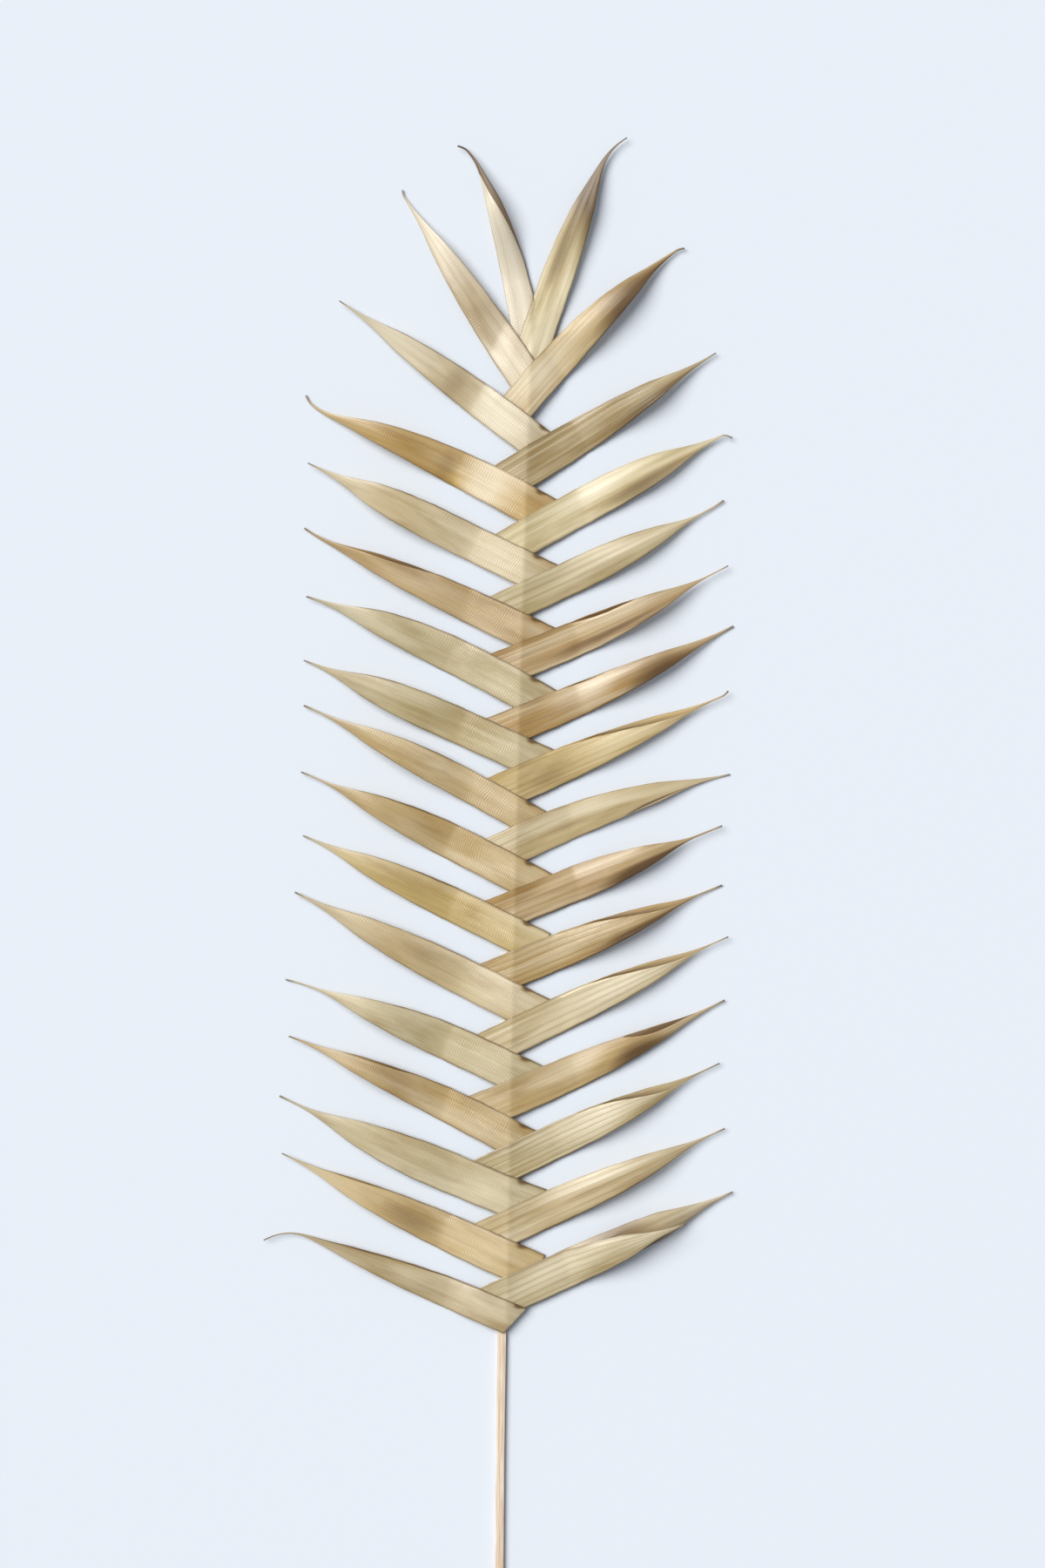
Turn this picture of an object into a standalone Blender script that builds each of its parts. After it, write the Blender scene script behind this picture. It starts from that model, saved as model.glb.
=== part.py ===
"""A dried palm leaf pick, lying flat: split palm strips woven in a herringbone over one split stick."""

from collections import namedtuple

import bmesh
import bpy
import numpy as np

MM = 0.001

# The stick is a split stem, flat in front, that leans a little and bows to the left on its way down.
STICK_TOP = np.array((13.1, 261.0)) * MM
STICK_FOOT = np.array((-0.1, -348.4)) * MM
STICK_BOW = 2.2 * MM
STICK_WIDTH = 4.2 * MM
STICK_THICKNESS = 2.2 * MM
STICK_EDGE = 0.35 * MM
STICK_PARTS = 24
STICK_COLOUR = "e8d4b6"

# Each strip is a flat ribbon of leaf blade that crosses the stick and ends in a fine whip.
THICKNESS = 0.6 * MM
WHIP_WIDTH = 1.2 * MM
FLICK_START = 0.8
ROOT_LENGTH = 28 * MM
ROOT_PARTS = 13
BLADE_PARTS = 9
PARTS_ACROSS = 3

# How the strips lie: over the stick in a low hill, and one layer over each strip woven in before.
DRAPE_HEIGHT = 2.75 * MM
DRAPE_REACH = 12 * MM
LAYER = 1.1 * MM
LAYER_FALL = 12 * MM
STRIPS_BELOW = 5
OUTLINE_SAMPLES = 48

# How a blade stands off the surface: its arch, its lifted tip, its curve across and the roll of its tip.
ARCH_START = 20 * MM
ARCH_MEAN, ARCH_VARY = 4.5 * MM, 1.8 * MM
TIP_MEAN, TIP_VARY = 1.6 * MM, 1.4 * MM
CHANNEL_MEAN, CHANNEL_VARY = 0.9 * MM, 0.5 * MM
ROLL_MEAN, ROLL_VARY = 0.1, 0.45

# One row a strip, in the order they are woven in: name; height at which it crosses the stick; tip; how far
# its middle bows up from a straight line; how far its tip flicks up; width; length of the short end past
# the stick (all mm); shares of its length where it starts to narrow and where its whip starts; colour.
Strip = namedtuple("Strip", "name at tip bow flick width tail full fine colour")
STRIPS = (
    Strip("strip_left_01", 256.0, (-14.0, 345.6), 3.4, -3.6, 13.2, 12, 0.00, 1.00, "e4d6b4"),
    Strip("strip_right_01", 240.8, (53.2, 349.9), 1.6, -6.0, 15.2, 14, 0.22, 1.00, "cdb278"),
    Strip("strip_left_02", 237.6, (-45.2, 323.6), 0.0, 0.0, 16.0, 14, 0.00, 1.00, "d6be8c"),
    Strip("strip_right_02", 228.8, (83.6, 298.8), 2.3, -1.0, 16.0, 16, 0.10, 1.00, "d0b47d"),
    Strip("strip_left_03", 212.4, (-73.2, 273.2), 0.8, 0.0, 16.0, 16, 0.05, 1.00, "dcc8a0"),
    Strip("strip_right_03", 195.2, (99.6, 249.2), 0.0, 0.0, 17.6, 17, 0.00, 1.00, "beac78"),
    Strip("strip_left_04", 181.2, (-90.8, 224.8), 2.9, 4.5, 17.4, 17, 0.00, 1.00, "c8a569"),
    Strip("strip_right_04", 163.2, (105.6, 212.8), 1.1, 0.0, 16.8, 17, 0.30, 1.00, "c8b97d"),
    Strip("strip_left_05", 151.6, (-87.6, 198.8), 0.0, 0.0, 16.4, 17, 0.30, 1.00, "d4b682"),
    Strip("strip_right_05", 135.2, (103.6, 180.8), -0.5, 1.0, 15.6, 17, 0.25, 0.88, "cdc087"),
    Strip("strip_left_06", 122.8, (-90.0, 167.6), 0.6, 1.6, 16.0, 17, 0.00, 1.00, "c8a064"),
    Strip("strip_right_06", 107.2, (105.2, 151.6), -1.6, 0.0, 16.4, 17, 0.15, 0.90, "c8a564"),
    Strip("strip_left_07", 95.6, (-88.4, 137.6), 2.7, 0.0, 16.8, 17, 0.20, 1.00, "beb482"),
    Strip("strip_right_07", 78.4, (107.6, 124.0), -1.4, 0.0, 16.0, 17, 0.00, 1.00, "c8a569"),
    Strip("strip_left_08", 66.8, (-89.6, 108.4), 0.7, 0.0, 16.4, 17, 0.30, 1.00, "c3b482"),
    Strip("strip_right_08", 50.4, (105.6, 93.2), 0.0, 0.0, 16.8, 17, 0.00, 0.93, "cdac69"),
    Strip("strip_left_09", 39.6, (-89.6, 87.6), 1.3, 0.0, 14.4, 17, 0.20, 0.93, "cdaa78"),
    Strip("strip_right_09", 22.8, (106.0, 56.0), 3.2, 0.0, 16.8, 17, 0.00, 1.00, "d0b478"),
    Strip("strip_left_10", 11.2, (-90.8, 57.2), 1.1, 0.0, 16.4, 17, 0.18, 0.92, "bea569"),
    Strip("strip_right_10", -6.4, (102.4, 32.4), 0.0, 0.0, 15.2, 17, 0.25, 0.87, "c3a05a"),
    Strip("strip_left_11", -16.4, (-90.0, 28.0), 0.6, 0.0, 14.6, 17, 0.15, 1.00, "c3a55f"),
    Strip("strip_right_11", -34.4, (102.4, 5.2), 0.0, 0.0, 15.6, 17, 0.10, 0.90, "c8a564"),
    Strip("strip_left_12", -47.2, (-93.6, 2.0), 0.0, 0.0, 17.4, 17, 0.10, 1.00, "cdaa73"),
    Strip("strip_right_12", -65.6, (105.2, -18.4), 0.4, 0.0, 16.4, 17, 0.15, 0.93, "d7be82"),
    Strip("strip_left_13", -79.2, (-97.6, -37.2), 1.5, -1.0, 17.2, 17, 0.15, 0.88, "cdb98c"),
    Strip("strip_right_13", -93.6, (103.6, -47.6), -1.2, 0.0, 16.8, 17, 0.00, 0.97, "c8a569"),
    Strip("strip_left_14", -109.2, (-96.4, -64.0), 1.7, 0.0, 16.4, 17, 0.00, 1.00, "c3a573"),
    Strip("strip_right_14", -123.2, (101.2, -76.4), 0.0, 0.0, 16.4, 17, 0.15, 0.92, "d7be87"),
    Strip("strip_left_15", -136.8, (-100.8, -91.6), -1.0, 0.0, 18.6, 17, 0.20, 0.92, "d4c087"),
    Strip("strip_right_15", -152.8, (103.6, -106.4), 0.0, 0.0, 16.4, 17, 0.15, 0.95, "d7c68c"),
    Strip("strip_left_16", -165.6, (-99.6, -117.6), -0.6, 0.0, 17.8, 17, 0.00, 1.00, "d2b278"),
    Strip("strip_right_16", -178.0, (107.2, -135.6), 0.0, 0.0, 14.4, 15, 0.48, 1.00, "dcbe96"),
    Strip("strip_right_17", -184.0, (85.2, -149.6), 0.9, 0.0, 17.2, 16, 0.20, 1.00, "d7be8c"),
    Strip("strip_left_17", -192.0, (-104.6, -149.2), 0.4, -9.0, 14.8, 9, 0.00, 0.90, "c8b482"),
)


def linear(colour):
    """Linear RGBA of a hex colour."""
    coded = np.array([int(colour[i : i + 2], 16) for i in (0, 2, 4)]) / 255
    return (*np.where(coded <= 0.04045, coded / 12.92, ((coded + 0.055) / 1.055) ** 2.4), 1)


def material(name, colour, roughness):
    made = bpy.data.materials.new(name)
    made.use_nodes = True
    shader = made.node_tree.nodes["Principled BSDF"]
    shader.inputs["Base Color"].default_value = linear(colour)
    shader.inputs["Roughness"].default_value = roughness
    shader.inputs["Metallic"].default_value = 0
    return made


def smooth(share):
    """A share of a change, eased at both ends."""
    share = np.clip(share, 0, 1)
    return share * share * (3 - 2 * share)


def vary(number, turn):
    """An even spread of values from -1 to 1 over the strips' numbers."""
    return np.sin(number * turn + 1)


def stick_centre(y):
    """The stick's middle at height y: a straight line from top to foot, less a parabola for the bow."""
    share = (STICK_TOP[1] - y) / (STICK_TOP[1] - STICK_FOOT[1])
    return STICK_TOP[0] + (STICK_FOOT[0] - STICK_TOP[0]) * share - 4 * STICK_BOW * share * (1 - share)


def drape(points):
    """Height of a ribbon laid over the stick: a cosine hill across it, which dies out past its top."""
    x, y = points[..., 0], points[..., 1]
    away = np.hypot(x - stick_centre(y), np.maximum(y - STICK_TOP[1], 0))
    return DRAPE_HEIGHT * (0.5 + 0.5 * np.cos(np.pi * np.minimum(away / DRAPE_REACH, 1)))


def chord(strip):
    """Where a strip crosses the stick, the vector from there to its tip, and the unit vector up across it."""
    start = np.array((stick_centre(strip.at * MM), strip.at * MM))
    along = np.array(strip.tip) * MM - start
    up = np.array((-along[1], along[0])) / np.hypot(*along)
    return start, along, up if up[1] > 0 else -up


def centre_line(strip, share):
    """A strip's middle: a parabola from the stick to the tip with a flick at its end, straight past the stick."""
    start, along, up = chord(strip)
    bow = 4 * strip.bow * MM * np.where(share > 0, share * (1 - share), share)
    flick = strip.flick * MM * np.clip((share - FLICK_START) / (1 - FLICK_START), 0, 1) ** 2
    return start + share[:, None] * along + (bow + flick)[:, None] * up


def half_width(strip, share):
    """Half a strip's width: steady at the root, then narrowing on a power curve to the whip."""
    fall = np.clip((share - strip.full) / (strip.fine - strip.full), 0, 1)
    width = strip.width * MM
    return ((width - WHIP_WIDTH) * (1 - fall**2.5) ** 1.5 + WHIP_WIDTH) / 2


def length(strip):
    return np.hypot(*chord(strip)[1])


def arch(number, share):
    """How far a blade stands off what it lies on: one hump from root to tip, and a tip that is lifted a little."""
    strip = STRIPS[number]
    start = ARCH_START / length(strip)
    blade = np.clip((share - start) / (1 - start), 0, 1)
    hump = (ARCH_MEAN + ARCH_VARY * vary(number, 2.4)) * np.sin(np.pi * blade) ** 1.5
    return hump + (TIP_MEAN + TIP_VARY * vary(number, 1.7)) * blade**3


def roll(number, share):
    """How far a blade turns over towards its tip, as an angle."""
    return (ROLL_MEAN + ROLL_VARY * vary(number, 3.1)) * smooth((share - 0.45) / 0.4)


def channel(number, share):
    """How far a blade's middle stands over its edges, once it is clear of the weave."""
    strip = STRIPS[number]
    free = smooth((share * length(strip) - ARCH_START) / ARCH_START)
    depth = CHANNEL_MEAN + CHANNEL_VARY * vary(number, 4.3)
    return depth * free * half_width(strip, share) / (strip.width * MM / 2)


def crest(number, share):
    """The highest that a blade stands, over its whole width."""
    turned = 2 * half_width(STRIPS[number], share) * np.abs(np.sin(roll(number, share)))
    return arch(number, share) + channel(number, share) + turned


def near(points, number):
    """How near the points are to a strip's outline, from 1 on it to 0 at LAYER_FALL from it, and its crest there."""
    strip = STRIPS[number]
    first = (strip.width / 4 - strip.tail) * MM / length(strip)
    share = np.linspace(first, 1, OUTLINE_SAMPLES)
    gaps = np.linalg.norm(points[..., None, :] - centre_line(strip, share), axis=-1) - half_width(strip, share)
    nearest = np.argmin(gaps, axis=-1)
    gap = np.take_along_axis(gaps, nearest[..., None], axis=-1)[..., 0]
    return 1 - smooth(gap / LAYER_FALL), crest(number, share)[nearest]


def both(held, arched):
    """The height of a blade that is held up and arches too: a little over the larger of the two."""
    return (held**4 + arched**4) ** 0.25


def rise(points, number):
    """How high the strips woven in before hold this one: each lies a LAYER over those below it that are near."""
    heights = {}
    nearness = {}
    for strip in range(max(0, number - STRIPS_BELOW), number + 1):
        held = [(heights[below] + LAYER) * nearness[below] for below in heights]
        heights[strip] = np.max(held, axis=0) if held else np.zeros(points.shape[:-1])
        if strip < number:
            nearness[strip], arched = near(points, strip)
            heights[strip] = both(heights[strip], arched)
    return heights[number]


def strip_surface(number):
    """The under face of a strip as a grid of points, rows along it and columns across it."""
    strip = STRIPS[number]
    reach = length(strip)
    root = np.linspace(-strip.tail * MM, ROOT_LENGTH, ROOT_PARTS + 1)
    blade = np.linspace(ROOT_LENGTH, reach, BLADE_PARTS + 1)[1:]
    share = np.concatenate([root, blade]) / reach
    middle = centre_line(strip, share)
    tangent = np.gradient(middle, share, axis=0)
    up = np.stack([-tangent[:, 1], tangent[:, 0]], axis=1) / np.linalg.norm(tangent, axis=1)[:, None]
    up *= np.sign(up[:, 1:])
    across = np.linspace(-1, 1, PARTS_ACROSS + 1)
    half = half_width(strip, share)
    turn = roll(number, share)
    offset = (half * np.cos(turn))[:, None] * across
    flat = middle[:, None, :] + offset[..., None] * up[:, None, :]
    height = drape(flat) + both(rise(flat, number), arch(number, share)[:, None])
    height += channel(number, share)[:, None] * (1 - across**2)
    height += half[:, None] * (np.abs(np.sin(turn))[:, None] + np.sin(turn)[:, None] * across)
    return np.concatenate([flat, height[..., None]], axis=-1)


def add(name, mesh, look, collection):
    obj = bpy.data.objects.new(name, mesh)
    mesh.materials.append(look)
    collection.objects.link(obj)
    return obj


def make_strip(number, collection):
    """A strip: its grid of triangles, cut the same way on both faces, given its thickness upwards."""
    grid = strip_surface(number)
    rows, columns = grid.shape[:2]
    index = np.arange(rows * columns).reshape(rows, columns)
    corners = [index[:-1, :-1], index[1:, :-1], index[1:, 1:], index[:-1, 1:]]
    a, b, c, d = (corner.ravel() for corner in corners)
    faces = np.concatenate([np.stack([a, b, c], axis=1), np.stack([a, c, d], axis=1)])
    if STRIPS[number].tip[0] * MM < stick_centre(STRIPS[number].at * MM):
        faces = faces[:, ::-1]
    strip = STRIPS[number]
    mesh = bpy.data.meshes.new(strip.name)
    mesh.from_pydata(grid.reshape(-1, 3).tolist(), [], faces.tolist())
    mesh.shade_smooth()
    obj = add(strip.name, mesh, material(strip.name, strip.colour, 0.6), collection)
    solid = obj.modifiers.new("Thickness", "SOLIDIFY")
    solid.thickness = THICKNESS
    solid.offset = 1


def make_stick(collection):
    """The stick: a long box, cut into short lengths, bowed, narrowed to its top and eased along its edges."""
    shape = bmesh.new()
    bmesh.ops.create_cube(shape, size=1)
    long_edges = [edge for edge in shape.edges if abs(edge.verts[0].co.y - edge.verts[1].co.y) > 0.5]
    bmesh.ops.subdivide_edges(shape, edges=long_edges, cuts=STICK_PARTS - 1, use_grid_fill=True)
    for vertex in shape.verts:
        y = STICK_FOOT[1] + (vertex.co.y + 0.5) * (STICK_TOP[1] - STICK_FOOT[1])
        x = stick_centre(y) + vertex.co.x * STICK_WIDTH
        vertex.co = (x, y, (vertex.co.z + 0.5) * STICK_THICKNESS)
    mesh = bpy.data.meshes.new("stick")
    shape.to_mesh(mesh)
    shape.free()
    obj = add("stick", mesh, material("stick", STICK_COLOUR, 0.7), collection)
    ease = obj.modifiers.new("Edges", "BEVEL")
    ease.width = STICK_EDGE
    ease.segments = 1
    ease.limit_method = "ANGLE"


def main():
    for obj in list(bpy.data.objects):
        bpy.data.objects.remove(obj)
    collection = bpy.data.collections.new("dried_palm_leaf")
    bpy.context.scene.collection.children.link(collection)
    make_stick(collection)
    for number in range(len(STRIPS)):
        make_strip(number, collection)


main()
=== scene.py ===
"""The looks of a dried palm leaf pick: split palm strips woven in a herringbone over one split stick."""

from collections import namedtuple

import bpy
import numpy as np
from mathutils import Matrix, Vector


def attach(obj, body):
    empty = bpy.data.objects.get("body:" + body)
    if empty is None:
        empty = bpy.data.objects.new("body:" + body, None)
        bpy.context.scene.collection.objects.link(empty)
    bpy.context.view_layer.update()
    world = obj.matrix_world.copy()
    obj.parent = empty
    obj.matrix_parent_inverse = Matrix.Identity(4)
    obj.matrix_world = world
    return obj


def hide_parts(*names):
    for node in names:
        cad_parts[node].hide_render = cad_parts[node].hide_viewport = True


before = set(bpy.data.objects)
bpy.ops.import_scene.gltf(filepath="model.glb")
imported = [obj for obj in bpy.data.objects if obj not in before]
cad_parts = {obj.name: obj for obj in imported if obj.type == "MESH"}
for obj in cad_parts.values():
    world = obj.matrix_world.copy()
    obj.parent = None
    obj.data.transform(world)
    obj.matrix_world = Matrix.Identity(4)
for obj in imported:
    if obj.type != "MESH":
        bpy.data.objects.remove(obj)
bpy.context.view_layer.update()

# The camera looks straight down on the pick as it lies, from far enough to keep it nearly flat. The picture
# is 1200 by 1800 pixels at 0.4 mm each. Its middle lies a little right of the pick's own and above it.
PICTURE_HEIGHT = 0.72
PICTURE_MIDDLE = (0.0108, 0.0516)
CAMERA_HEIGHT = 1.8
SENSOR = 36

camera = bpy.data.objects.new("camera", bpy.data.cameras.new("camera"))
camera.data.sensor_width = SENSOR
camera.data.lens = SENSOR * CAMERA_HEIGHT / PICTURE_HEIGHT
camera.location = (*PICTURE_MIDDLE, CAMERA_HEIGHT)
bpy.context.scene.collection.objects.link(camera)
bpy.context.scene.camera = camera

# The pick lies on a plain pale surface in soft daylight from its upper left, with pale light all round, so
# that each blade drops a soft shadow to its right.
SURFACE_SIZE = 3.0
SURFACE_COLOUR = "e5ebf3"
SURFACE_DROP = 0.0002
SUN_FROM = (-0.66, 0.46, 1.0)
SUN_SPREAD = 0.8
SUN_COLOUR = (1.0, 0.985, 0.955)
SUN_POWER = 3.08
ROUND_LIGHT = 0.32
ROUND_COLOUR = "eef4ff"


def linear(colour):
    """Linear RGBA of a hex colour: each coded value c becomes ((c + 0.055) / 1.055) ** 2.4, or c / 12.92 if
    it is dark."""
    coded = np.array([int(colour[i : i + 2], 16) for i in (0, 2, 4)]) / 255
    return (*np.where(coded <= 0.04045, coded / 12.92, ((coded + 0.055) / 1.055) ** 2.4), 1)


def new_material(name):
    """A material with a Principled shader: the material, its nodes, its links and the shader."""
    made = bpy.data.materials.new(name)
    made.use_nodes = True
    return made, made.node_tree.nodes, made.node_tree.links, made.node_tree.nodes["Principled BSDF"]


surface_mesh = bpy.data.meshes.new("surface")
corners = np.array([(-1, -1), (1, -1), (1, 1), (-1, 1)]) * SURFACE_SIZE / 2
surface_mesh.from_pydata([(*corner, -SURFACE_DROP) for corner in corners.tolist()], [], [(0, 1, 2, 3)])
surface = bpy.data.objects.new("surface", surface_mesh)
surface_look, _, _, surface_shader = new_material("surface")
surface_shader.inputs["Base Color"].default_value = linear(SURFACE_COLOUR)
surface_shader.inputs["Roughness"].default_value = 0.8
surface_mesh.materials.append(surface_look)
bpy.context.scene.collection.objects.link(surface)

sun = bpy.data.objects.new("sun", bpy.data.lights.new("sun", "SUN"))
sun.data.angle = SUN_SPREAD
sun.data.energy = SUN_POWER
sun.data.color = SUN_COLOUR
sun.location = SUN_FROM
sun.rotation_euler = (-Vector(SUN_FROM)).to_track_quat("-Z", "Y").to_euler()
bpy.context.scene.collection.objects.link(sun)
world = bpy.data.worlds.new("round")
world.use_nodes = True
world.node_tree.nodes["Background"].inputs["Color"].default_value = linear(ROUND_COLOUR)
world.node_tree.nodes["Background"].inputs["Strength"].default_value = ROUND_LIGHT
bpy.context.scene.world = world
bpy.context.scene.view_settings.view_transform = "Standard"

# The stick is a split stem with a flat pale front and a brown skin left on its right side. It leans a little
# to the right going up, bows to the left, and is cut square at its foot. The weave alone holds it.
MM = 0.001
STICK_TOP = np.array((13.1, 261.0)) * MM
STICK_FOOT = np.array((-0.1, -348.4)) * MM
STICK_BOW = 2.2 * MM
STICK_WIDTH = 4.2 * MM
STICK_THICKNESS = 2.2 * MM
STICK_CORNERS = 0.42
STICK_RIDGE = 0.06 * MM
STICK_SWAY = 0.12 * MM
STICK_BUMP = 0.2 * MM
FIBRE_DARK = "cfb190"
FIBRE_PALE = "f0e0cc"
STEM_SKIN = "8c6b4f"
STICK_ROWS = 420
STICK_SIDES = 28


def stick_centre(y):
    """The stick's middle at height y: a straight line from top to foot, less a parabola for the bow."""
    share = (STICK_TOP[1] - y) / (STICK_TOP[1] - STICK_FOOT[1])
    return STICK_TOP[0] + (STICK_FOOT[0] - STICK_TOP[0]) * share - 4 * STICK_BOW * share * (1 - share)


def add_grid(name, points, uv, closed=False):
    """An object from a grid of points, rows by columns, with a UV map called ribbon; closed joins the last
    column to the first and caps both ends."""
    rows, columns = points.shape[:2]
    index = np.arange(rows * columns).reshape(rows, columns)
    if closed:
        index = np.concatenate([index, index[:, :1]], axis=1)
        uv = np.concatenate([uv, uv[:, :1] + np.array((0, 1))], axis=1)
    squares = np.stack([index[:-1, :-1], index[1:, :-1], index[1:, 1:], index[:-1, 1:]], axis=-1)
    squares = squares.reshape(-1, 4)
    square_uv = np.stack([uv[:-1, :-1], uv[1:, :-1], uv[1:, 1:], uv[:-1, 1:]], axis=2).reshape(-1, 2)
    faces = squares.tolist()
    if closed:
        faces += [index[0, :-1].tolist(), index[-1, -2::-1].tolist()]
        square_uv = np.concatenate([square_uv, uv[0, :-1], uv[-1, -2::-1]])
    mesh = bpy.data.meshes.new(name)
    mesh.from_pydata(points.reshape(-1, 3).tolist(), [], faces)
    mesh.uv_layers.new(name="ribbon").data.foreach_set("uv", square_uv.astype(np.float32).ravel())
    mesh.shade_smooth()
    made = bpy.data.objects.new(name, mesh)
    bpy.context.scene.collection.objects.link(made)
    return made


def stick_surface():
    """A rounded box carried along the stick's line. Its outline is a superellipse, and fine ridges run along
    it, a cosine of the angle round the stick whose depth drifts along it."""
    y = np.linspace(STICK_FOOT[1], STICK_TOP[1], STICK_ROWS)[:, None]
    turn = np.linspace(0, 2 * np.pi, STICK_SIDES, endpoint=False)[None, :]
    side = np.sign(np.cos(turn)) * np.abs(np.cos(turn)) ** STICK_CORNERS
    lift = np.sign(np.sin(turn)) * np.abs(np.sin(turn)) ** STICK_CORNERS
    drift = 0.5 + 0.5 * np.sin(y * 61 + 2) * np.sin(y * 23)
    ridge = STICK_RIDGE * np.cos(9 * turn + 1.2 * np.sin(y * 40)) * drift
    sway = STICK_SWAY * np.sin(y * 34 + 0.6)
    x = stick_centre(y) + sway + side * (STICK_WIDTH / 2 - 0.08 * MM + ridge)
    z = STICK_THICKNESS / 2 + lift * (STICK_THICKNESS / 2 - 0.06 * MM + 0.7 * ridge)
    points = np.stack(np.broadcast_arrays(x, y, z), axis=-1)
    uv = np.stack(np.broadcast_arrays(y, turn / (2 * np.pi)), axis=-1)
    return points, uv


def wood_finish():
    """Pale split stem: fine fibres along it, and brown skin on the side that faces right."""
    made, nodes, links, shader = new_material("stick")
    place = nodes.new("ShaderNodeTexCoord")
    stretch = nodes.new("ShaderNodeMapping")
    stretch.inputs["Scale"].default_value = (2600, 60, 2600)
    fibre = nodes.new("ShaderNodeTexNoise")
    fibre.inputs["Scale"].default_value = 1.0
    fibre.inputs["Detail"].default_value = 6
    tone = nodes.new("ShaderNodeValToRGB")
    tone.color_ramp.elements[0].position = 0.3
    tone.color_ramp.elements[0].color = linear(FIBRE_DARK)
    tone.color_ramp.elements[1].position = 0.62
    tone.color_ramp.elements[1].color = linear(FIBRE_PALE)
    facing = nodes.new("ShaderNodeSeparateXYZ")
    normal = nodes.new("ShaderNodeNewGeometry")
    skin = nodes.new("ShaderNodeMapRange")
    skin.inputs["From Min"].default_value = 0.45
    skin.inputs["From Max"].default_value = 0.85
    mix = nodes.new("ShaderNodeMix")
    mix.data_type = "RGBA"
    mix.inputs["B"].default_value = linear(STEM_SKIN)
    bump = nodes.new("ShaderNodeBump")
    bump.inputs["Strength"].default_value = 0.5
    bump.inputs["Distance"].default_value = STICK_BUMP
    links.new(place.outputs["Object"], stretch.inputs["Vector"])
    links.new(stretch.outputs["Vector"], fibre.inputs["Vector"])
    links.new(fibre.outputs["Fac"], tone.inputs["Fac"])
    links.new(normal.outputs["Normal"], facing.inputs["Vector"])
    links.new(facing.outputs["X"], skin.inputs["Value"])
    links.new(skin.outputs["Result"], mix.inputs["Factor"])
    links.new(tone.outputs["Color"], mix.inputs["A"])
    links.new(mix.outputs["Result"], shader.inputs["Base Color"])
    links.new(fibre.outputs["Fac"], bump.inputs["Height"])
    links.new(bump.outputs["Normal"], shader.inputs["Normal"])
    shader.inputs["Roughness"].default_value = 0.62
    return made


stick = add_grid("stick_finish", *stick_surface(), closed=True)
stick.data.materials.append(wood_finish())
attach(stick, "root")
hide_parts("stick")

# Each strip is a ribbon split from a dried palm leaf: about 16 mm wide where it is woven, narrowing to a
# fine whip. It crosses the stick, and its short end tucks under the next strip. Nothing but the weave holds
# it. The rows run in the order in which the strips are woven in.

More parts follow.
